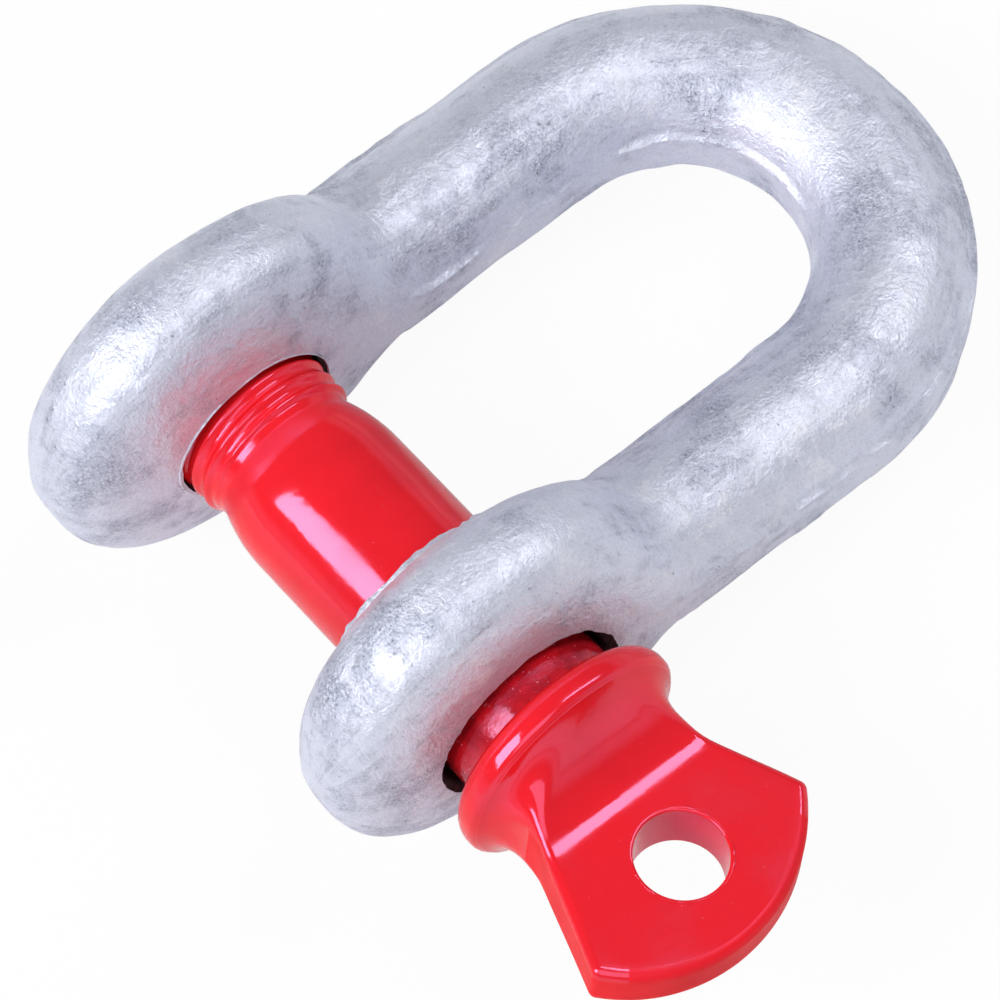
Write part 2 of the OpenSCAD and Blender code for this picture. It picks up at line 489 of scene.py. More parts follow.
@dataclass(frozen=True)
class GalvanisedZinc:
    """Hot-dip zinc: pale blue-grey, clouded, streaked and pitted, with sugary patches whose bright
    grains are painted glints.
    """

    name: str = "galvanised_zinc"
    pale: Colour = (0.72, 0.75, 0.89)
    dull: Colour = (0.43, 0.46, 0.59)
    bright: Colour = (0.87, 0.89, 0.97)
    grain: Colour = (0.29, 0.31, 0.41)
    pit: Colour = (0.15, 0.155, 0.20)
    metallic: float = 0.55
    drift_cloud: Cloud = Cloud(11.0, 3.0, 0.55)
    mottle_cloud: Cloud = Cloud(2.6, 7.0, 0.66, 0.5)
    streak_cloud: Cloud = Cloud(1.0, 5.0, 0.6, 0.4)
    streaks_along: float = 9.0
    streaks_across: float = 60.0
    fine_cloud: Cloud = Cloud(0.55, 3.0, 0.7)
    grit_cloud: Cloud = Cloud(0.30, 2.0, 0.65)
    lump_cloud: Cloud = Cloud(4.2, 4.0, 0.6)
    drift_in_band: float = 0.8
    streak_in_band: float = 0.4
    mottle_in_zone: float = 0.25
    mottle_in_dull: float = 0.8
    drift_in_bright: float = 0.3
    dull_in_pits: float = 0.08
    pits_in_skin: float = 0.6
    zone_span: Span = Span(0.70, 0.94, 0.22, 1.0)
    dull_span: Span = Span(0.92, 1.22, 0.0, 0.8)
    bright_span: Span = Span(0.34, 0.56, 0.0, 0.8)
    grain_span: Span = Span(0.50, 0.66, 0.0, 0.75)
    # Grit values that become painted glints: bright grains in the grainy zones
    painted_glint_span: Span = Span(0.46, 0.34, 0.0, 0.7)
    pit_span: Span = Span(0.675, 0.75, 0.0, 0.7)
    rough_span: Span = Span(0.34, 0.66, 0.35, 0.54)
    lump_mm: float = 0.30
    pock_mm: float = 0.24
    sugar_mm: float = 0.17
    skin_mm: float = 0.13

    def make(self) -> bpy.types.Material:
        """Builds the material.

        Returns:
            The finished material.
        """
        s = Shading(self.name)
        place = s.millimetres()
        drift = s.cloud(place, self.drift_cloud)
        mottle = s.cloud(place, self.mottle_cloud)
        streak = s.cloud(s.along_bar(self.streaks_along, self.streaks_across), self.streak_cloud)
        fine = s.cloud(place, self.fine_cloud)
        grit = s.cloud(place, self.grit_cloud)
        band = s.plus(s.times(drift, self.drift_in_band), s.times(streak, self.streak_in_band))
        zone = s.spread(s.plus(band, s.times(mottle, self.mottle_in_zone)), self.zone_span)
        dull = s.spread(s.plus(band, s.times(mottle, self.mottle_in_dull)), self.dull_span)
        bright = s.spread(s.minus(mottle, s.times(drift, self.drift_in_bright)), self.bright_span)
        grains = s.times(s.spread(grit, self.grain_span), zone)
        # Painted glints: bright grains in the grainy zones
        painted_glint = s.times(s.spread(grit, self.painted_glint_span), zone)
        pits = s.spread(s.plus(fine, s.times(dull, self.dull_in_pits)), self.pit_span)
        colour = s.blend(dull, s.blend(bright, self.pale, self.bright), self.dull)
        colour = s.blend(painted_glint, s.blend(grains, colour, self.grain), self.bright)
        s.set("Base Color", s.blend(pits, colour, self.pit))
        s.set("Roughness", s.spread(mottle, self.rough_span))
        s.set("Metallic", self.metallic)
        lumps = s.relief(s.cloud(place, self.lump_cloud), self.lump_mm)
        pocks = s.relief(mottle, self.pock_mm, lumps)
        sugar = s.relief(s.times(grit, zone), self.sugar_mm, pocks)
        skin = s.minus(fine, s.times(pits, self.pits_in_skin))
        s.set("Normal", s.relief(skin, self.skin_mm, sugar))
        return s.material


@dataclass(frozen=True)
class ShadedBoreSteel:
    """The inside of the bores: dark, oily, scaled steel, its near black partly painted shade in the
    bores.
    """

    name: str = "dark_bore_with_painted_shade"
    # Near black: partly oily steel, partly painted shade inside the bores
    dark: Colour = (0.016, 0.014, 0.018)
    scale: Colour = (0.09, 0.085, 0.095)
    metallic: float = 0.3
    patch_cloud: Cloud = Cloud(1.6, 5.0, 0.6)
    scale_span: Span = Span(0.45, 0.7)
    rough_span: Span = Span(0.3, 0.7, 0.45, 0.75)
    patch_mm: float = 0.2

    def make(self) -> bpy.types.Material:
        """Builds the material.

        Returns:
            The finished material.
        """
        s = Shading(self.name)
        patch = s.cloud(s.millimetres(), self.patch_cloud)
        s.set("Base Color", s.blend(s.spread(patch, self.scale_span), self.dark, self.scale))
        s.set("Roughness", s.spread(patch, self.rough_span))
        s.set("Metallic", self.metallic)
        s.set("Normal", s.relief(patch, self.patch_mm))
        return s.material


@dataclass(frozen=True)
class GlossPaint:
    """Thick glossy red paint, a little wavy, with faint dust and darker runs."""

    name: str = "red_gloss_paint"
    red: Colour = (0.85, 0.012, 0.018)
    deep: Colour = (0.74, 0.009, 0.014)
    shine: Colour = (1.0, 0.52, 1.0)
    roughness: float = 0.12
    smoother: float = 0.04
    rougher: float = 0.05
    ior: float = 1.6
    level: float = 0.8
    level_away: float = 0.25
    away_from: float = 0.16
    away_to: float = 0.52
    coat: float = 0.08
    coat_roughness: float = 0.06
    coat_ior: float = 1.5
    drift_cloud: Cloud = Cloud(9.0, 3.0, 0.5)
    peel_cloud: Cloud = Cloud(0.9, 2.0, 0.5)
    dust_cloud: Cloud = Cloud(0.32, 1.0, 0.5)
    deep_span: Span = Span(0.35, 0.7, 0.0, 0.8)
    dust_span: Span = Span(0.76, 0.82)
    drift_low: float = 0.3
    drift_high: float = 0.7
    peel_mm: float = 0.010
    dust_mm: float = 0.03

    def make(self) -> bpy.types.Material:
        """Builds the material.

        Returns:
            The finished material.
        """
        s = Shading(self.name)
        place = s.millimetres()
        drift = s.cloud(place, self.drift_cloud)
        peel = s.cloud(place, self.peel_cloud)
        dust = s.spread(s.cloud(place, self.dust_cloud), self.dust_span)
        least, most = self.roughness - self.smoother, self.roughness + self.rougher
        level = Span(self.away_from, self.away_to, self.level, self.level * self.level_away)
        s.set("Base Color", s.blend(s.spread(drift, self.deep_span), self.red, self.deep))
        s.set("Roughness", s.spread(drift, Span(self.drift_low, self.drift_high, least, most)))
        skin = s.relief(dust, self.dust_mm, s.relief(peel, self.peel_mm))
        s.set("Normal", skin)
        s.set("Coat Normal", skin)
        s.set("IOR", self.ior)
        s.set("Specular IOR Level", s.spread(s.turned_away(), level))
        s.set("Specular Tint", (*self.shine, 1.0))
        s.set("Coat Weight", self.coat)
        s.set("Coat Roughness", self.coat_roughness)
        s.set("Coat IOR", self.coat_ior)
        return s.material


@dataclass(frozen=True)
class DryPaintWithShade:
    """The thin, gritty coat of red on the shank by the collar, its darker red partly painted shade.
    """

    name: str = "red_dry_paint_with_painted_shade"
    # Darker than the gloss red: partly the thin coat, partly painted shade beside the near eye
    red: Colour = (0.56, 0.008, 0.016)
    deep: Colour = (0.36, 0.006, 0.013)
    fleck: Colour = (0.75, 0.20, 0.28)
    shine: Colour = (1.0, 0.6, 1.0)
    level: float = 0.7
    roughness: float = 0.12
    smoother: float = 0.07
    rougher: float = 0.10
    grit_cloud: Cloud = Cloud(0.7, 5.0, 0.68)
    patch_cloud: Cloud = Cloud(2.4, 4.0, 0.6)
    fleck_cloud: Cloud = Cloud(0.34, 1.0, 0.5)
    deep_span: Span = Span(0.40, 0.62, 0.0, 0.9)
    fleck_span: Span = Span(0.70, 0.76, 0.0, 0.8)
    grit_low: float = 0.35
    grit_high: float = 0.65
    grit_mm: float = 0.014
    patch_mm: float = 0.10

    def make(self) -> bpy.types.Material:
        """Builds the material.

        Returns:
            The finished material.
        """
        s = Shading(self.name)
        place = s.millimetres()
        grit = s.cloud(place, self.grit_cloud)
        patch = s.cloud(place, self.patch_cloud)
        flecks = s.spread(s.cloud(place, self.fleck_cloud), self.fleck_span)
        least, most = self.roughness - self.smoother, self.roughness + self.rougher
        colour = s.blend(s.spread(patch, self.deep_span), self.red, self.deep)
        s.set("Base Color", s.blend(flecks, colour, self.fleck))
        s.set("Roughness", s.spread(grit, Span(self.grit_low, self.grit_high, least, most)))
        s.set("Normal", s.relief(grit, self.grit_mm, s.relief(patch, self.patch_mm)))
        s.set("Specular IOR Level", self.level)
        s.set("Specular Tint", (*self.shine, 1.0))
        return s.material


@dataclass(frozen=True)
class Rag:
    """How a ragged measure varies: its mean, its slow and quick changes, and its least and most."""

    mean: float
    slow: float
    quick: float
    least: float
    most: float

    def of(self, slow: np.ndarray, quick: np.ndarray) -> np.ndarray:
        """Share of the measure at each place, from the slow and the quick bumps there."""
        return np.clip(self.mean + self.slow * slow + self.quick * quick, self.least, self.most)


@dataclass(frozen=True)
class Bore:
    """The hole in one eye, how ragged its mouths are, and the burr round its inner mouth."""

    eye: Eye
    radius: float
    steps: int
    mouth_rag: float
    rag_least: float
    burr_off: float
    burr_size: float
    burr_tall: float
    burr_seed: float


@dataclass
class ForgedBow:
    """The forged bow: a round bar that swells into two thick eyes, one plain and one tapped."""

    bar_d: float = 16.2
    leg_spacing: float = 42.9
    leg_len: float = 44.9
    eye_d: float = 41.8
    eye_t: float = 15.3
    eye_inset: float = 0.4
    eye_square: float = 2.8
    neck_r: float = 8.5
    # Steps of the skin: round the bar, and along the eye's tip, the neck, the leg and the crown
    around: int = 160
    tip_deg: float = 0.8
    tip_steps: int = 60
    neck_steps: int = 58
    leg_steps: int = 36
    crown_steps: int = 110
    # The trimmed flash band: half height, soft edge, rise, where it starts, and how it varies
    band_half: float = 2.3
    band_edge: float = 0.45
    band_rise: float = 0.36
    band_from: float = 14.0
    band_grow: float = 8.0
    band_wander: Ripple = Ripple(0.5, 6.0, 8.7)
    trim_mean: float = 0.80
    trim_least: float = 0.3
    trim: Ripple = Ripple(0.45, 9.0, 3.1)
    # The forging's swells, the zinc over it, and the level seat under the pin's collar
    swells: tuple[Ripple, ...] = (
        Ripple(0.16, 11.0, 0.4), Ripple(0.09, 4.5, 5.2), Ripple(0.05, 2.1, 9.9),
    )
    zinc_t: float = 0.05
    seat_r: float = 15.0
    seat_edge: float = 1.5
    seat_level: float = -0.03
    # The bores, their thread and their ragged mouths
    bores: tuple[Bore, ...] = (
        Bore(
            Eye.TAPPED, radius=9.1, steps=168, mouth_rag=0.12, rag_least=-0.05,
            burr_off=0.42, burr_size=0.22, burr_tall=0.24, burr_seed=1.0,
        ),
        Bore(
            Eye.PLAIN, radius=10.3, steps=70, mouth_rag=0.24, rag_least=-0.4,
            burr_off=0.75, burr_size=0.45, burr_tall=1.9, burr_seed=2.0,
        ),
    )
    bore_around: int = 120
    bore_from: float = 7.0
    bore_to: float = 35.0
    pitch: float = 1.8
    thread_depth: float = 0.45
    groove_half: float = 0.36
    groove_flank: float = 0.16
    lead_in: float = 0.12
    lead_slope: float = 0.3
    lead_len: float = 9.0
    break_rise: float = 0.30
    break_len: float = 1.1
    outer_rise: float = 0.35
    mouth_len: float = 1.6
    wall_rag: float = 0.05
    rags: tuple[Ripple, ...] = (Ripple(1.0, 1.7, 4.4), Ripple(0.6, 0.8, 7.7))
    # The burrs: steps round the bore and round the burr, and how they vary
    burr_steps: int = 300
    burr_around: int = 12
    burr_slow: float = 4.0
    burr_quick: float = 1.0
    quick_seed: float = 2.0
    burr_thick: Rag = Rag(0.75, 0.9, 0.4, 0.15, 1.5)
    burr_high: Rag = Rag(0.9, 0.15, 0.12, 0.5, 1.2)
    burr_sway: float = 0.25
    burr_sink: float = 0.4
    sharp_deg: float = 42.0

    def __post_init__(self) -> None:
        """Works out what follows from the driving sizes."""
        self.bar_r, self.eye_r = self.bar_d / 2, self.eye_d / 2
        self.mid_x = self.leg_spacing / 2
        self.eye_x = self.mid_x - self.eye_inset
        reach = self.eye_r + self.neck_r
        self.neck_end = math.sqrt(reach**2 - (self.bar_r + self.neck_r) ** 2)
        self.rim_end = self.neck_end * self.eye_r / reach
        drop = self.eye_r - self.bar_r
        self.tilt_deg = math.degrees(math.asin(drop / (self.leg_len + self.mid_x)))

    def half_height(self, run: np.ndarray) -> np.ndarray:
        """Half the height of the bow: eye, fillet, leg.

        Args:
            run: distances from the pin's axis.

        Returns:
            Half heights.
        """
        eye = np.sqrt(np.maximum(self.eye_r**2 - run**2, 0.0))
        fillet = np.sqrt(np.maximum(self.neck_r**2 - (self.neck_end - run) ** 2, 0.0))
        neck = self.bar_r + self.neck_r - fillet
        return np.where(run < self.rim_end, eye, np.where(run < self.neck_end, neck, self.bar_r))

    def half_width(self, run: np.ndarray) -> np.ndarray:
        """Half the width of the bow, from eye to leg.

        Args:
            run: distances from the pin's axis.

        Returns:
            Half widths.
        """
        tip = np.clip(-run / self.eye_r, 0.0, 1.0)
        rounded = self.eye_t / 2 * (1.0 - tip**self.eye_square) ** (1.0 / self.eye_square)
        neck = mix(self.eye_t / 2, self.bar_r, ease(run / self.neck_end))
        return np.where(run < 0.0, rounded, neck)

    def stations(self) -> tuple[np.ndarray, np.ndarray]:
        """Where the bow's sections stand, from one eye's tip round the crown to the other's.

        Returns:
            Each section's turn about the crown, in radians, and its distance from the pin's axis.
        """
        turns = np.radians(np.linspace(self.tip_deg, 90.0, self.tip_steps))
        tip = -self.eye_r * np.cos(turns)
        neck = np.linspace(0.0, self.neck_end, self.neck_steps)[1:]
        leg = np.linspace(self.neck_end, self.leg_len, self.leg_steps)[1:-1]
        side = np.concatenate([tip, neck, leg])
        crown = np.linspace(math.pi, 0.0, self.crown_steps)
        turn = np.concatenate([np.full(len(side), math.pi), crown, np.zeros(len(side))])
        run = np.concatenate([side, np.full(len(crown), self.leg_len), side[::-1]])
        return turn, run

    @staticmethod
    def place(out: np.ndarray, turn: np.ndarray, run: np.ndarray, up: np.ndarray) -> np.ndarray:
        """Points in the bow's plane, from a section's turn and run and the places in it."""
        return np.stack([out * np.cos(turn), run + out * np.sin(turn), up + 0.0 * out], axis=2)

    def rows(self) -> np.ndarray:
        """The bow's skin, with its trimmed flash band and the swells of the forging and the zinc.

        Returns:
            Points by section, by place round it, and x, y, z.
        """
        turn, run = (a[:, None] for a in self.stations())
        leg = ease(run / self.neck_end)
        power = 2.0 / mix(self.eye_square, CIRCLE, leg)
        middle = mix(self.eye_x, self.mid_x, leg)
        t = once_round(self.around)[None, :]
        across = np.sign(np.cos(t)) * np.abs(np.cos(t)) ** power
        up = self.half_height(run) * np.sign(np.sin(t)) * np.abs(np.sin(t)) ** power
        plain = self.place(middle + self.half_width(run) * across, turn, run, up)
        flat = plain * np.array([1.0, 1.0, 0.0])
        trimmed = np.clip(self.trim_mean + self.trim.at(flat), self.trim_least, 1.0)
        reach = self.band_half + self.band_wander.at(flat)
        band = trimmed * ease((run - self.band_from) / self.band_grow)
        band = band * (1.0 - ease((np.abs(up) - reach) / self.band_edge))
        across = np.sign(across) * (np.abs(across) + (1.0 - np.abs(across)) * band)
        rise = np.sign(across) * self.band_rise * band
        skin = self.place(middle + self.half_width(run) * across + rise, turn, run, up)
        beside = np.roll(skin, -1, axis=1) - np.roll(skin, 1, axis=1)
        out = np.cross(np.gradient(skin, axis=0), beside)
        out /= np.maximum(np.linalg.norm(out, axis=2, keepdims=True), TINY)
        towards = skin - self.place(middle + 0.0 * across, turn, run, 0.0 * up)
        out *= np.sign((out * towards).sum(axis=2, keepdims=True))
        swell = layered(0.0, self.swells, skin)
        seat = ease((self.seat_r - np.hypot(run, up)) / self.seat_edge)
        seat = seat * (turn == 0.0) * (across > 0.0)
        return skin + out * mix(swell + self.zinc_t, self.seat_level, seat)[:, :, None]

    def face_x(self, eye: Eye, inside: bool, radius: float, angle: np.ndarray) -> np.ndarray:
        """Where an eye's face is, round the bore.

        Args:
            eye: which eye.
            inside: whether it is the face towards the jaw.
            radius: distance from the pin's axis.
            angle: turn about the pin's axis, in radians.

        Returns:
            The face's x at each place.
        """
        y, z = radius * np.cos(angle), radius * np.sin(angle)
        leg = ease(y / self.neck_end)
        square = mix(self.eye_square, CIRCLE, leg)
        rise = np.clip(np.abs(z) / self.half_height(y), 0.0, 1.0)
        half = self.half_width(y) * (1.0 - rise**square) ** (1.0 / square)
        return eye.value * (mix(self.eye_x, self.mid_x, leg) + (-half if inside else half))

    def burr_rows(self, bore: Bore) -> np.ndarray:
        """A ragged burr under the zinc round the mouth of a bore, on the face towards the jaw.

        Args:
            bore: which bore.

        Returns:
            Points by place round the bore, by place round the burr, and x, y, z.
        """
        radius, size = bore.radius + bore.burr_off, bore.burr_size
        angle = once_round(self.burr_steps)
        ring = np.stack([np.cos(angle), np.sin(angle), 0.0 * angle], axis=1) * radius
        slow = Ripple(1.0, self.burr_slow, bore.burr_seed).at(ring)
        quick = Ripple(1.0, self.burr_quick, bore.burr_seed + self.quick_seed).at(ring)
        thick = (size * self.burr_thick.of(slow, quick))[:, None]
        high = (bore.burr_tall * self.burr_high.of(slow, quick))[:, None]
        t = once_round(self.burr_around)[None, :]
        face = self.face_x(bore.eye, True, radius, angle)[:, None]
        rho = radius + self.burr_sway * (slow + quick)[:, None] * size + thick * np.cos(t)
        x = face + bore.eye.value * self.burr_sink * size + high * np.sin(t)
        return round_pin(x, rho, angle[:, None])

    def bore_rows(self, bore: Bore) -> np.ndarray:
        """The shape of the hole in an eye: plain and a little ragged, or tapped.

        Args:
            bore: which bore.

        Returns:
            Points by place along the bore, by place round it, and x, y, z.
        """
        eye, radius = bore.eye, bore.radius
        angle = once_round(self.bore_around)[None, :]
        x = eye.value * np.linspace(self.bore_from, self.bore_to, bore.steps)[:, None]
        place = round_pin(x, radius, angle)
        inner = self.face_x(eye, True, radius, angle)
        outer = self.face_x(eye, False, radius, angle)
        depth = np.minimum(eye.value * (x - inner), eye.value * (outer - x))
        rho = radius + 0.0 * place[:, :, 0]
        if eye is Eye.TAPPED:
            groove = self.groove_half - thread_offset(x, angle, self.pitch)
            rho += self.thread_depth * ease(groove / self.groove_flank)
            lead = self.lead_slope * np.clip(depth, 0.0, self.lead_len)
            rho = np.maximum(rho, radius + self.lead_in - lead)
        else:
            broken = self.break_rise * ease(1.0 - depth / self.break_len)
            rho += broken + self.outer_rise * ease(1.0 - (outer - x) / self.mouth_len)
        mouth = ease(1.0 - depth / self.mouth_len)
        ragged = layered(0.0, self.rags, place) * (self.wall_rag + bore.mouth_rag * mouth)
        rho += np.maximum(ragged, bore.rag_least)
        return round_pin(x, rho, angle)

    def build(self) -> bpy.types.Object:
        """Makes the bow, dresses it and puts it in the place of its CAD solid.

        Returns:
            The finished piece.
        """
        zinc, dark = GalvanisedZinc().make(), ShadedBoreSteel().make()
        skin, burrs = Skin(), Skin()
        skin.add_tube(self.rows())
        piece = skin.to_piece("forged_bow", [zinc], self.tilt_deg)
        for bore in self.bores:
            hole = Skin()
            hole.add_tube(self.bore_rows(bore))
            # The bore walls take the near-black finish, partly painted shade in the bores
            cut(piece, hole.to_piece("bore_shape", [dark], self.tilt_deg))
            burrs.add_tube(self.burr_rows(bore), End.RING)
        add_to(piece, burrs.to_piece("bore_burrs", [zinc], self.tilt_deg))
        smooth(piece, self.sharp_deg)
        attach(piece, "shackle")
        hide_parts("shackle_body")
        return piece


@dataclass
class ScrewPin:
    """The screw pin: thread, groove, rounded nose, shank, collar and a flat eared, pierced head."""

    shank_d: float = 18.8
    thread_d: float = 17.8
    root_d: float = 16.4
    relief_len: float = 1.2
    shank_len: float = 33.6
    nose_len: float = 6.4
    tip_chamfer: float = 1.6
    tip_x: float = -26.3252
    seat_x: float = 31.6353
    # The thread: pitch, depth, half its crest with the flanks, the flanks, and its run-out
    pitch: float = 1.8
    thread_depth: float = 0.5
    crest_half: float = 0.42
    crest_flank: float = 0.40
    run_out: float = 0.7
    # Steps of the shank, how far it runs into the collar, and the paint's slow waves on it
    around: int = 144
    thread_step: float = 0.13
    shank_step: float = 0.42
    into_collar: float = 1.0
    shank_waves: tuple[Ripple, ...] = (Ripple(0.035, 6.5, 2.2), Ripple(0.012, 2.4, 6.1))
    # Where the dry coat with its painted shade starts, and how ragged its edge is
    dry_shaded_from: float = 20.5
    dry_shaded_edge: tuple[Ripple, ...] = (Ripple(1.3, 3.4, 2.7), Ripple(0.8, 1.2, 4.9))
    # The collar and the head
    collar_d: float = 26.0
    collar_t: float = 3.6
    rim_r: float = 2.2
    front_r: float = 0.9
    plate_t: float = 6.0
    taper_deg: float = 3.0
    waist: float = 9.8
    waist_len: float = 4.1
    ear_half: float = 15.0
    ear_x: float = 22.0
    ear_skew: float = 1.4
    end_bulge: float = 7.7
    side_r: float = 8.0
    edge_r: float = 1.0
    ramp_len: float = 8.5
    ramp_arc_deg: float = 55.0
    # How near the collar's section is to a circle, and the share of the ramp that makes it square
    roundness: float = 0.99
    square_share: float = 0.8
    head_turn: float = -4.0
    head_wave: Ripple = Ripple(0.030, 7.0, 1.9)
    # Steps of the head: on a corner, half the top and half the side of a section, and along it
    corner: int = 14
    top: int = 12
    side: int = 4
    rim_steps: int = 13
    front_steps: int = 8
    neck_steps: int = 20
    neck_crowding: float = 1.6
    hollow_steps: int = 16
    straight_steps: int = 16
    ear_steps: int = 9
    end_steps: int = 46
    # The hole and the bead of paint round it
    hole_d: float = 9.5
    hole_x: float = 19.1
    hole_around: int = 96
    hole_soft: float = 0.25
    hole_steps: int = 8
    hole_past: float = 2.0
    hole_flare: float = 0.3
    bead_off: float = 0.32
    bead_steps: int = 200
    bead_around: int = 10
    bead_mean: float = 0.06
    bead_least: float = 0.02
    bead_most: float = 0.24
    bead_flat: float = 0.9
    bead_rags: tuple[Ripple, ...] = (Ripple(0.13, 1.6, 3.3), Ripple(0.10, 0.7, 5.1))
    sharp_deg: float = 40.0

    def __post_init__(self) -> None:
        """Works out what follows from the driving sizes."""
        self.shank_r, self.root_r = self.shank_d / 2, self.root_d / 2
        self.crest_r, self.hole_r = self.thread_d / 2, self.hole_d / 2
        self.taper = math.tan(math.radians(self.taper_deg))
        self.nose_x = self.seat_x - self.shank_len
        self.groove_x = self.nose_x - self.nose_len
        self.thread_x = self.groove_x - self.relief_len
        drop = self.shank_r - self.root_r
        self.nose_r = (self.nose_len**2 + drop**2) / (2.0 * drop)
        self.end_r = (self.ear_half**2 + self.end_bulge**2) / (2.0 * self.end_bulge)
        self.end_centre = self.ear_x + self.end_bulge - self.end_r
        self.ramp_end = self.collar_t + self.ramp_len
        self.square_len = self.square_share * self.ramp_len
        self.waist_x = self.collar_t + self.waist_len
        self.ramp_top = (self.collar_d - self.front_r) / 2
        dx, dy = self.ear_x - self.waist_x, self.ear_half - self.waist - self.side_r
        self.flare = math.asin(self.side_r / math.hypot(dx, dy)) + math.atan2(dy, dx)

    def shank_radius(self, x: np.ndarray, angle: np.ndarray) -> np.ndarray:
        """Radius of the thread, groove, nose and shank.

        Args:
            x: places along the pin.
            angle: turns about its axis, in radians.

        Returns:
            The radius at each place.
        """
        offset = thread_offset(x, angle, self.pitch)
        ridge = ease((self.crest_half - offset) / self.crest_flank)
        height = self.crest_r - self.root_r - self.thread_depth * (1.0 - ridge)
        thread = self.root_r + height * ease((self.thread_x + self.run_out / 2 - x) / self.run_out)
        thread = np.minimum(thread, self.crest_r - self.tip_chamfer + (x - self.tip_x))
        reach = np.clip(self.nose_x - x, 0.0, self.nose_len)
        nose = self.shank_r - self.nose_r + np.sqrt(self.nose_r**2 - reach**2)
        return np.where(x < self.groove_x, thread, nose + 0.0 * angle)

    def shank_rows(self, first: float, last: float, step: float) -> np.ndarray:
        """A length of the thread and shank, with the paint's slow waves.

        Args:
            first: where it starts along the pin.
            last: where it ends.
            step: rough distance between rows.

        Returns:
            Points by row, by place round the pin, and x, y, z.
        """
        x = np.linspace(first, last, max(2, round((last - first) / step)))[:, None]
        angle = once_round(self.around)[None, :]
        radius = self.shank_radius(x, angle)
        wavy = layered(radius, self.shank_waves, round_pin(x, radius, angle))
        return round_pin(x, wavy, angle)

    def face_z(self, x: Values) -> Values:
        """Half the thickness of the tapered plate at x from the collar's seat."""
        return self.plate_t / 2 + (self.hole_x - x) * self.taper

    def hollow(self, share: np.ndarray) -> np.ndarray:
        """Rise of a hollow at a share of its length.

        Args:
            share: 0 where it starts flat, 1 at the collar.

        Returns:
            Rises from 0 to 1.
        """
        arc = math.radians(self.ramp_arc_deg)
        turn = np.arcsin(np.clip(share, 0.0, 1.0) * math.sin(arc))
        return (1.0 - np.cos(turn)) / (1.0 - math.cos(arc))

    def half_thickness(self, x: np.ndarray) -> np.ndarray:
        """Half the head's thickness, with the hollow ramp between the collar and the plate.

        Args:
            x: distances from the collar's seat.

        Returns:
            Half thicknesses.
        """
        tall = self.ramp_top - self.face_z(self.collar_t)
        ramp = tall * self.hollow((self.ramp_end - x) / self.ramp_len)
        return self.face_z(np.maximum(x, self.collar_t)) + ramp

    def neck_width(self, x: np.ndarray) -> np.ndarray:
        """Half the head's width between the collar and the waist, at x from the collar's seat."""
        rise = (self.ramp_top - self.waist) * self.hollow((self.waist_x - x) / self.waist_len)
        return self.waist + rise

    def corner_r(self, x: np.ndarray) -> np.ndarray:
        """Radius of the head's long edges: almost round at the collar, small on the plate."""
        full = self.roundness * np.minimum(self.half_thickness(x), self.neck_width(x))
        return mix(full, self.edge_r, ease((x - self.collar_t) / self.square_len))

    def outline(self) -> np.ndarray:
        """Half outline of the head, from the collar's front to the plate's end.

        Returns:
            Rows of x, half width, and the outward direction's two parts.
        """
        share = np.linspace(0.0, 1.0, self.neck_steps)[1:-1]
        x = self.collar_t + self.waist_len * share**self.neck_crowding
        neck = np.stack([x, self.neck_width(x), 0.0 * x, 1.0 + 0.0 * x], axis=1)
        a = np.linspace(0.0, self.flare, self.hollow_steps)
        x = self.waist_x + self.side_r * np.sin(a)
        wide = self.waist + self.side_r * (1.0 - np.cos(a))
        hollow = np.stack([x, wide, -np.sin(a), np.cos(a)], axis=1)
        # The ear's rounded corner lies inside the straight side and the bulging end
        side = np.array([math.cos(self.flare), math.sin(self.flare)])
        tip = np.array([self.ear_x - self.end_centre, self.ear_half])
        tip = tip - self.edge_r * np.array([-side[1], side[0]])
        inner_r = self.end_r - self.edge_r
        tip -= side * (tip @ side - math.sqrt((tip @ side) ** 2 - tip @ tip + inner_r**2))
        tip_angle = math.atan2(tip[1], tip[0])
        a = np.linspace(math.pi / 2 + self.flare, tip_angle, self.ear_steps)
        x = self.end_centre + tip[0] + self.edge_r * np.cos(a)
        wide = tip[1] + self.edge_r * np.sin(a)
        ear = np.stack([x, wide, np.cos(a), np.sin(a)], axis=1)
        share = np.linspace(0.0, 1.0, self.straight_steps)[1:-1, None]
        straight = mix(hollow[-1][None, :], ear[0][None, :], share)
        a = np.linspace(tip_angle, 0.0, self.end_steps)[1:]
        x, wide = self.end_centre + self.end_r * np.cos(a), self.end_r * np.sin(a)
        end = np.stack([x, wide, np.cos(a), np.sin(a)], axis=1)
        return np.concatenate([neck, hollow, straight, ear, end])

    def corner_turn(self) -> np.ndarray:
        """Turns of the places on a corner of the head's section, from its side to its top."""
        return np.radians(np.linspace(0.0, 90.0, self.corner + 1))

    def section(
        self, at: np.ndarray, wide: float, high: np.ndarray, r: float, out_y: float
    ) -> np.ndarray:
        """One section of the head, a rectangle with rounded corners.

        Args:
            at: x of each place on a corner, from the side to the top.
            wide: half the width.
            high: half the thickness at each place on the corner.
            r: radius of the corners.
            out_y: how far the outline's outward direction points across the plate.

        Returns:
            Points once round.
        """
        bend = self.corner_turn()
        y, z = wide - r * (1.0 - np.cos(bend)) * out_y, high - r * (1.0 - np.sin(bend))
        wall = np.linspace(0.0, 1.0, self.side + 1)[:-1]
        flat = np.linspace(1.0, 0.0, self.top + 1)[1:]
        return self.close_loop(np.concatenate([
            np.stack([at[0] + 0.0 * wall, wide + 0.0 * wall, z[0] * wall], axis=1),
            np.stack([at, y, z], axis=1),
            np.stack([at[-1] + 0.0 * flat, y[-1] * flat, z[-1] + 0.0 * flat], axis=1),
        ]))

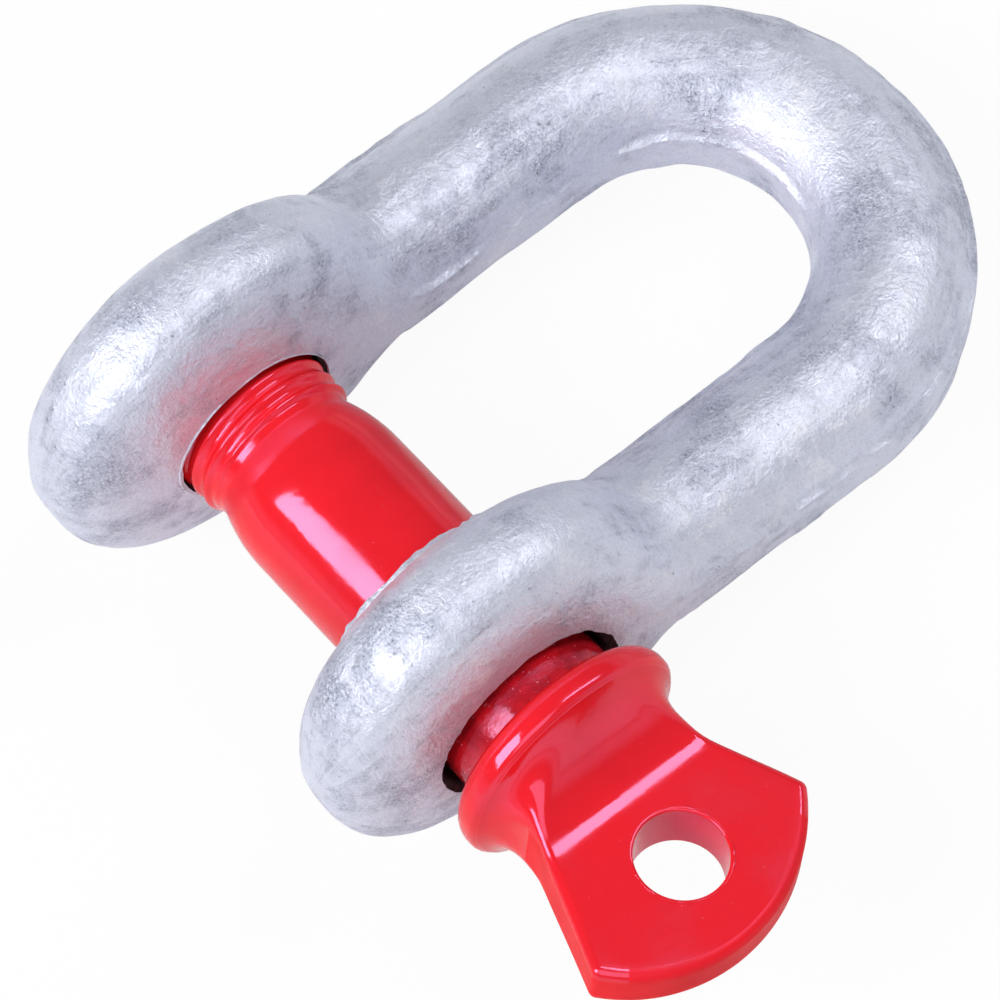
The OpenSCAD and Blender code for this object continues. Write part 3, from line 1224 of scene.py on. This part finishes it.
    @staticmethod
    def close_loop(quarter: np.ndarray) -> np.ndarray:
        """Mirrors a quarter of a section, from its side to its top, to a whole one.

        Args:
            quarter: points from the middle of the side to the middle of the top.

        Returns:
            Points once round.
        """
        left = quarter[::-1][1:] * np.array([1.0, -1.0, 1.0])
        upper = np.concatenate([quarter, left])
        return np.concatenate([upper, upper[::-1][1:-1] * np.array([1.0, 1.0, -1.0])])

    def collar_rings(self) -> list[tuple[float, float]]:
        """The collar's profile, from its seat over the rounded rim to its front.

        Returns:
            Pairs of x from the seat and radius.
        """
        rim = np.radians(np.linspace(0.0, 90.0, self.rim_steps))
        outer, front = self.collar_d / 2, self.collar_t - self.front_r
        rings = [
            (self.rim_r * (1.0 - math.cos(a)), outer - self.rim_r * (1.0 - math.sin(a)))
            for a in rim
        ]
        return rings + [
            (front + self.front_r * math.sin(a), outer - self.front_r * (1.0 - math.cos(a)))
            for a in rim[1 : self.front_steps + 1]
        ]

    def head_rows(self) -> tuple[np.ndarray, np.ndarray]:
        """The collar and the head: round at the collar, then a tapered plate with rounded edges.

        Returns:
            Points by section, by place round it, and x, y, z from the collar's seat, and the
            finish of each face.
        """
        inset = 1.0 - np.cos(self.corner_turn())
        even = 0.0 * inset
        loops = [
            self.section(x + even, radius, radius + even, self.roundness * radius, 1.0)
            for x, radius in self.collar_rings()
        ]
        for x, wide, out_x, out_y in self.outline():
            r = float(self.corner_r(np.array(x)))
            at = x - min(r, self.edge_r) * inset * out_x
            loops.append(self.section(at, wide, self.half_thickness(at), r, out_y))
        rows = np.stack(loops)
        skewed = ease((rows[:, :, 0] - self.waist_x) / (self.ear_x - self.waist_x))
        lean = -self.ear_skew * rows[:, :, 1] / self.ear_half * skewed
        rows[:, :, 0] += lean
        rows[:, :, 2] -= np.sign(rows[:, :, 2]) * lean * self.taper
        away = rows * np.array([0.0, 1.0, 1.0])
        away /= np.maximum(np.linalg.norm(away, axis=2, keepdims=True), 1.0)
        rows += away * self.head_wave.at(rows)[:, :, None]
        half = rows.shape[1] // 2
        step = np.arange(rows.shape[1]) % half
        from_side = np.minimum(step, half - 1 - step)[None, :]
        sheared = (from_side < self.side) & (rows[:, :, 0] > self.waist_x)
        past_ears = rows[:, :1, 0] > self.ear_x + self.ear_skew
        sheared |= (from_side < self.side + self.corner) & past_ears
        return rows, np.where(sheared, Coat.EDGE.value, Coat.MAIN.value)

    def place_head(self, points: np.ndarray) -> np.ndarray:
        """Points of the head, given from the collar's seat, in their place in the bow's plane."""
        return turn_about_pin(points, self.head_turn) + np.array([self.seat_x, 0.0, 0.0])

    def hole_rows(self) -> tuple[np.ndarray, np.ndarray]:
        """The shape of the hole in the plate, with softly broken edges.

        Returns:
            Points by place along the hole, by place round it, and x, y, z from the collar's seat,
            and the finish of each face.
        """
        soft = self.hole_soft
        bend = np.radians(np.linspace(0.0, 90.0, self.hole_steps))
        lip = [(soft * (math.sin(a) - 1.0), soft * (1.0 - math.cos(a))) for a in bend]
        lip.append((self.hole_past, soft + self.hole_flare))
        angle = once_round(self.hole_around)
        loops = []
        for side, steps in ((-1.0, lip[::-1]), (1.0, lip)):
            for rise, wider in steps:
                x = self.hole_x + (self.hole_r + wider) * np.cos(angle)
                y = (self.hole_r + wider) * np.sin(angle)
                loops.append(np.stack([x, y, side * (self.face_z(x) + rise)], axis=1))
        rows = np.stack(loops)
        coats = np.full(rows.shape[:2], Coat.MAIN.value)
        # The hole's wall takes the darker hole paint, partly painted shade
        coats[len(rows) // 2 - 1] = Coat.HOLE.value
        return rows, coats

    def bead_rows(self) -> np.ndarray:
        """The ragged bead of paint round the hole's upper edge.

        Returns:
            Points by place round the hole, by place round the bead, and x, y, z from the seat.
        """
        angle = once_round(self.bead_steps)
        radius = self.hole_r + self.bead_off
        ring = np.stack([radius * np.cos(angle), radius * np.sin(angle), 0.0 * angle], axis=1)
        thick = layered(self.bead_mean, self.bead_rags, ring)
        thick = np.clip(thick, self.bead_least, self.bead_most)[:, None]
        t = once_round(self.bead_around)[None, :]
        rho = radius + thick * np.cos(t)
        x = self.hole_x + rho * np.cos(angle)[:, None]
        z = self.face_z(x) + thick * np.sin(t) * self.bead_flat
        return np.stack([x, rho * np.sin(angle)[:, None], z], axis=2)

    def build(self, tilt_deg: float) -> bpy.types.Object:
        """Makes the pin, dresses it and puts it in the place of its CAD solid.

        Args:
            tilt_deg: how far the bow's plane tips down towards the crown.

        Returns:
            The finished piece.
        """
        finishes = [
            GlossPaint().make(),
            DryPaintWithShade().make(),
            GlossPaint("red_edge_paint", roughness=0.42, level=0.25, coat=0.0).make(),
            # Hole wall: darker, purplish red, partly thin paint, partly painted shade and painted
            # reflection
            GlossPaint(
                "red_hole_paint_shade_and_reflection", red=(0.70, 0.018, 0.060), deep=(0.60, 0.016, 0.055)
            ).make(),
        ]
        head, hole, rest = Skin(), Skin(), Skin()
        rows, coats = self.head_rows()
        head.add_tube(self.place_head(rows), End.LINE, coats)
        piece = head.to_piece("painted_screw_pin", finishes, tilt_deg)
        rows, coats = self.hole_rows()
        hole.add_tube(self.place_head(rows), coats=coats)
        cut(piece, hole.to_piece("hole_shape", finishes, tilt_deg))
        thread = self.shank_rows(self.tip_x, self.groove_x, self.thread_step)
        plain = self.shank_rows(self.groove_x, self.dry_shaded_from, self.shank_step)
        neck = self.shank_rows(self.dry_shaded_from, self.seat_x + self.into_collar, self.shank_step)
        rows = np.concatenate([thread, plain[1:], neck[1:]])
        # Past the ragged edge the shank takes the dry coat with its painted shade
        glossy = rows[:, :, 0] < layered(self.dry_shaded_from, self.dry_shaded_edge, rows)
        rest.add_tube(rows, coats=np.where(glossy, Coat.MAIN.value, Coat.DRY_WITH_SHADE.value))
        rest.add_tube(self.place_head(self.bead_rows()), End.RING)
        add_to(piece, rest.to_piece("shank_and_bead", finishes, tilt_deg))
        smooth(piece, self.sharp_deg)
        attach(piece, "pin")
        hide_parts("screw_pin")
        return piece


@dataclass(frozen=True)
class Softbox:
    """A rectangular studio lamp that points at the shackle."""

    name: str
    towards: tuple[float, float, float]
    width: float
    height: float
    level: float
    distance: float = 0.9

    def build(self, aim: Vector) -> None:
        """Hangs the lamp.

        Args:
            aim: the point that it lights, in metres.
        """
        lamp = bpy.data.lights.new(self.name, "AREA")
        lamp.shape = "RECTANGLE"
        lamp.size, lamp.size_y = self.width, self.height
        lamp.energy = self.level * math.pi * self.width * self.height
        stand = bpy.data.objects.new(self.name, lamp)
        away = Vector(self.towards).normalized()
        stand.location = aim + away * self.distance
        stand.rotation_mode = "QUATERNION"
        stand.rotation_quaternion = away.to_track_quat("Z", "Y")
        stand.visible_camera = False
        bpy.context.scene.collection.objects.link(stand)


@dataclass
class Studio:
    """White floor, white walls near the horizon, a dimmer ceiling and the lamps."""

    floor_size: float = 30.0
    floor_white: float = 0.82
    floor_roughness: float = 0.9
    floor_level: float = 0.1
    own_white: float = 0.94
    mirrored_white: float = 0.15
    wall: float = 0.6
    wall_top: float = 0.06
    ceiling: float = 0.15
    ceiling_edge: float = 0.28
    lamps: tuple[Softbox, ...] = (
        Softbox("key_softbox", (-0.17, -0.70, 0.70), 0.50, 0.50, 7.7),
        Softbox("head_softbox", (0.10, 0.60, 0.79), 0.30, 0.60, 6.0),
        Softbox("fill_softbox", (0.55, -0.25, 0.80), 0.74, 0.74, 1.5, 1.0),
    )

    def floor_finish(self) -> bpy.types.Material:
        """White floor: almost white to the eye, less so in reflections, with a soft shadow.

        Returns:
            The floor's material.
        """
        s = Shading("white_floor")
        s.set("Base Color", (self.floor_white,) * 3 + (1.0,))
        s.set("Roughness", self.floor_roughness)
        s.set("Specular IOR Level", self.floor_level)
        glow = s.node("ShaderNodeEmission")
        glow.inputs["Strength"].default_value = 1.0
        path = s.node("ShaderNodeLightPath")
        whites = {
            "Is Camera Ray": self.own_white,
            "Is Glossy Ray": self.mirrored_white,
            "Is Transmission Ray": self.mirrored_white,
        }
        share: Socket | float = 0.0
        for ray, white in whites.items():
            part = s.node("ShaderNodeMath", operation="MULTIPLY_ADD")
            for place, value in enumerate((path.outputs[ray], white, share)):
                s.feed(part.inputs[place], value)
            share = part.outputs[0]
        both = s.node("ShaderNodeMixShader")
        for place, value in enumerate((share, s.shader.outputs[0], glow.outputs[0])):
            s.feed(both.inputs[place], value)
        s.feed(s.tree.nodes["Material Output"].inputs["Surface"], both.outputs[0])
        return s.material

    def build_floor(self) -> None:
        """Lays the floor under the shackle."""
        half = self.floor_size / 2
        mesh = bpy.data.meshes.new("floor")
        corners = [(-half, -half), (half, -half), (half, half), (-half, half)]
        mesh.from_pydata([(x, y, CAD_BOX[0].z) for x, y in corners], [], [[0, 1, 2, 3]])
        mesh.materials.append(self.floor_finish())
        floor = bpy.data.objects.new("floor", mesh)
        bpy.context.scene.collection.objects.link(floor)

    def build_surroundings(self) -> None:
        """Makes the world: pale walls that fade to the ceiling."""
        world = bpy.data.worlds.new("studio")
        world.use_nodes = True
        nodes, links = world.node_tree.nodes, world.node_tree.links
        split = nodes.new("ShaderNodeSeparateXYZ")
        links.new(nodes.new("ShaderNodeTexCoord").outputs["Generated"], split.inputs[0])
        fade = nodes.new("ShaderNodeMapRange")
        fade.interpolation_type = "SMOOTHSTEP"
        fade.inputs["From Min"].default_value = self.wall_top
        fade.inputs["From Max"].default_value = self.ceiling_edge
        fade.inputs["To Min"].default_value = self.wall
        fade.inputs["To Max"].default_value = self.ceiling
        links.new(split.outputs["Z"], fade.inputs["Value"])
        sky = nodes["Background"]
        sky.inputs["Color"].default_value = (1.0, 1.0, 1.0, 1.0)
        links.new(fade.outputs["Result"], sky.inputs["Strength"])
        bpy.context.scene.world = world

    def build(self, aim: Vector) -> None:
        """Sets up the floor, the surroundings and the lamps.

        Args:
            aim: the point that the lamps light, in metres.
        """
        self.build_floor()
        for lamp in self.lamps:
            lamp.build(aim)
        self.build_surroundings()


@dataclass(frozen=True)
class PhotoCamera:
    """The camera at the photograph's viewing angle."""

    azimuth: float = 68.4796
    elevation: float = 67.5739
    roll: float = -20.947
    distance: float = 0.6663
    aim: tuple[float, float, float] = (0.0073321, 0.0134505, -0.0062769)
    lens: float = 239.7
    sensor: float = 36.0
    nearest: float = 0.01
    furthest: float = 100.0

    def build(self) -> None:
        """Makes the camera and gives it to the scene."""
        a, e, r = (math.radians(x) for x in (self.azimuth, self.elevation, self.roll))
        back = Vector((math.sin(a) * math.cos(e), -math.cos(a) * math.cos(e), math.sin(e)))
        level = Vector((math.cos(a), math.sin(a), 0.0))
        right = level * math.cos(r) + back.cross(level) * math.sin(r)
        turn = Matrix((right, back.cross(right), back)).transposed()
        stand = Vector(self.aim) + back * self.distance
        data = bpy.data.cameras.new("photo_camera")
        data.lens, data.sensor_width = self.lens, self.sensor
        data.clip_start, data.clip_end = self.nearest, self.furthest
        camera = bpy.data.objects.new("photo_camera", data)
        camera.matrix_world = Matrix.Translation(stand) @ turn.to_4x4()
        bpy.context.scene.collection.objects.link(camera)
        bpy.context.scene.camera = camera


def main() -> None:
    """Builds the camera, the bow, the pin and the studio in order."""
    logging.basicConfig(level=logging.INFO, format="%(name)s: %(message)s")
    bpy.context.scene.view_settings.view_transform = "Standard"
    PhotoCamera().build()
    bow = ForgedBow()
    for piece in (bow.build(), ScrewPin().build(bow.tilt_deg)):
        LOG.info("%s: %d faces", piece.name, len(piece.data.polygons))
    middle = (CAD_BOX[0] + CAD_BOX[1]) / 2
    Studio().build(middle)


if __name__ == "__main__":
    main()
